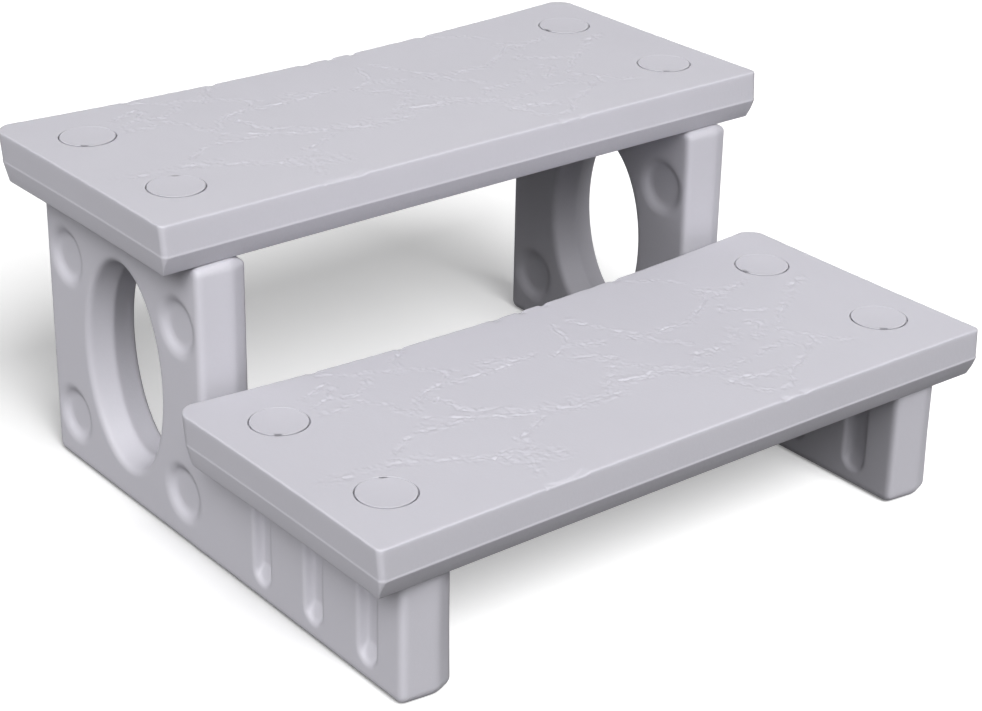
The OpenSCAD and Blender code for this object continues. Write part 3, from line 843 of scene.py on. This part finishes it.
for lev in LEVELS:
    for row in ("front", "back"):
        for side in SIDES:
            clo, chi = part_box(f"{lev}_{row}_{side}_cap")
            c = ((clo.x + chi.x) / 2, (clo.y + chi.y) / 2, chi.z)
            ob = lathe(f"{lev}_{row}_{side}_cap_disc", CAP_PROFILE, [c], 128)
            cut(ob, [notch_cutter(c, NOTCH_ANGLES[(row, side)])])
            smooth_by_angle(ob, 40)
            ob.data.materials.append(mat_cap)
            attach(ob, f"{lev}_{row}_{side}_cap")
            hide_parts(f"{lev}_{row}_{side}_cap")


# ---- Fasteners keep their CAD shapes ----

for lev in LEVELS:
    for side in SIDES:
        for kind, mat in (("screws", mat_zinc), ("washers", mat_zinc), ("inserts", mat_brass)):
            ob = frame["nodes"][f"{lev}_{side}_{kind}"]
            ob.data.materials.clear()
            ob.data.materials.append(mat)
            bevel = ob.modifiers.new("edge", "BEVEL")
            bevel.width, bevel.segments, bevel.limit_method = 0.00025, 2, "ANGLE"
            bevel.angle_limit = math.radians(40)


# ---- Floor, light and camera ----

FLOOR_HALF, FLOOR_GAP = 9, 0.0001
FLOOR_SEEN, FLOOR_BOUNCE, FLOOR_GLOW = 0.95, 0.15, 0.21
WORLD_STRENGTH = 0.22

w = FLOOR_HALF
floor = mesh_object("floor", [(-w, -w, 0), (w, -w, 0), (w, w, 0), (-w, w, 0)], [(0, 1, 2, 3)])
floor.location.z = cad_lo.z - FLOOR_GAP
mat_floor, nt, bsdf = material("floor_white")
seen = nt.nodes.new("ShaderNodeLightPath").outputs["Is Camera Ray"]
nt.links.new(mix_colour(nt, seen, (FLOOR_BOUNCE,) * 3, (FLOOR_SEEN,) * 3),
             bsdf.inputs["Base Color"])
bsdf.inputs["Roughness"].default_value = 0.9
bsdf.inputs["Specular IOR Level"].default_value = 0.0
bsdf.inputs["Emission Color"].default_value = (1, 1, 1, 1)
glow = node(nt, "ShaderNodeMath", operation="MULTIPLY")
nt.links.new(seen, glow.inputs[0])
glow.inputs[1].default_value = FLOOR_GLOW
nt.links.new(glow.outputs[0], bsdf.inputs["Emission Strength"])
floor.data.materials.append(mat_floor)

world = bpy.data.worlds.new("studio")
bpy.context.scene.world = world
world.use_nodes = True
background = world.node_tree.nodes["Background"]
background.inputs["Color"].default_value = (1, 1, 1, 1)
background.inputs["Strength"].default_value = WORLD_STRENGTH


def area_light(name, place, aim, size, power):
    """A rectangular softbox at a place, turned towards a point."""
    data = bpy.data.lights.new(name, "AREA")
    data.shape, data.size, data.size_y, data.energy = "RECTANGLE", size[0], size[1], power
    ob = bpy.data.objects.new(name, data)
    bpy.context.scene.collection.objects.link(ob)
    ob.location = place
    ob.rotation_mode = "QUATERNION"
    ob.rotation_quaternion = (Vector(aim) - Vector(place)).to_track_quat("-Z", "Y")
    return ob


def soft_sun(name, azimuth, elevation, strength, spread):
    """Even light from far away. Azimuth 0 comes from the front and 90 from the right."""
    data = bpy.data.lights.new(name, "SUN")
    data.energy, data.angle = strength, math.radians(spread)
    ob = bpy.data.objects.new(name, data)
    bpy.context.scene.collection.objects.link(ob)
    a, e = math.radians(azimuth), math.radians(elevation)
    towards = Vector((math.sin(a) * math.cos(e), -math.cos(a) * math.cos(e), math.sin(e)))
    ob.rotation_mode = "QUATERNION"
    ob.rotation_quaternion = (-towards).to_track_quat("-Z", "Y")
    return ob


# The right panel has its own set, because in the photo its inner face is darker than the main
# set leaves it. The floor has its own light, which leaves it almost white.
main_lights = [
    soft_sun("key", -48, 42, 3.52, 38),
    soft_sun("front", 10, 32, 0.5, 50),
    soft_sun("left", -90, 30, 0.35, 60),
    area_light("front_box", (-0.1, -0.95, 1.3), (0, 0, 0.2), (0.8, 0.5), 5.0),
]
right_lights = [
    soft_sun("right_key", 2, 42, 2.75, 40),
    soft_sun("right_fill", -60, 46, 1.45, 60),
]
back_light = soft_sun("back_light", 150, 3, 1.5, 40)
back_light.visible_glossy = False
floor_light = soft_sun("floor_light", -10, 42, 3.9, 36)
floor_only = bpy.data.collections.new("floor_only")
floor_only.objects.link(floor)
right_panel_only = bpy.data.collections.new("right_panel_only")
right_panel_only.objects.link(bpy.data.objects["right_panel_shell"])
all_others = bpy.data.collections.new("all_others")
all_but_floor = bpy.data.collections.new("all_but_floor")
for ob in bpy.context.scene.objects:
    if ob.type == "MESH" and ob is not floor:
        all_but_floor.objects.link(ob)
        if ob.name != "right_panel_shell":
            all_others.objects.link(ob)
back_light.light_linking.receiver_collection = all_but_floor
floor_light.light_linking.receiver_collection = floor_only
for ob in right_lights:
    ob.light_linking.receiver_collection = right_panel_only
for ob in main_lights:
    ob.light_linking.receiver_collection = all_others

cam_data = bpy.data.cameras.new("camera")
camera = bpy.data.objects.new("camera", cam_data)
bpy.context.scene.collection.objects.link(camera)
bpy.context.scene.camera = camera
CAMERA_X, CAMERA_FORWARD, CAMERA_Z = -1.26181, 1.26526, 1.08113
AZ, EL, ROLL = math.radians(-36.8814), math.radians(25.0083), math.radians(0.2552)
back = Vector((math.sin(AZ) * math.cos(EL), -math.cos(AZ) * math.cos(EL), math.sin(EL)))
right = Vector((0, 0, 1)).cross(back).normalized()
up = back.cross(right)
right2 = math.cos(ROLL) * right + math.sin(ROLL) * up
up2 = -math.sin(ROLL) * right + math.cos(ROLL) * up
place = Matrix.Translation((CAMERA_X, cad_lo.y - CAMERA_FORWARD, CAMERA_Z))
camera.matrix_world = place @ Matrix((right2, up2, back)).transposed().to_4x4()
cam_data.sensor_width = 36.0
cam_data.lens = 85.98
cam_data.shift_x = 0.0776
cam_data.shift_y = -0.0210
cam_data.clip_start, cam_data.clip_end = 0.05, 60

bpy.context.scene.view_settings.view_transform = "Standard"
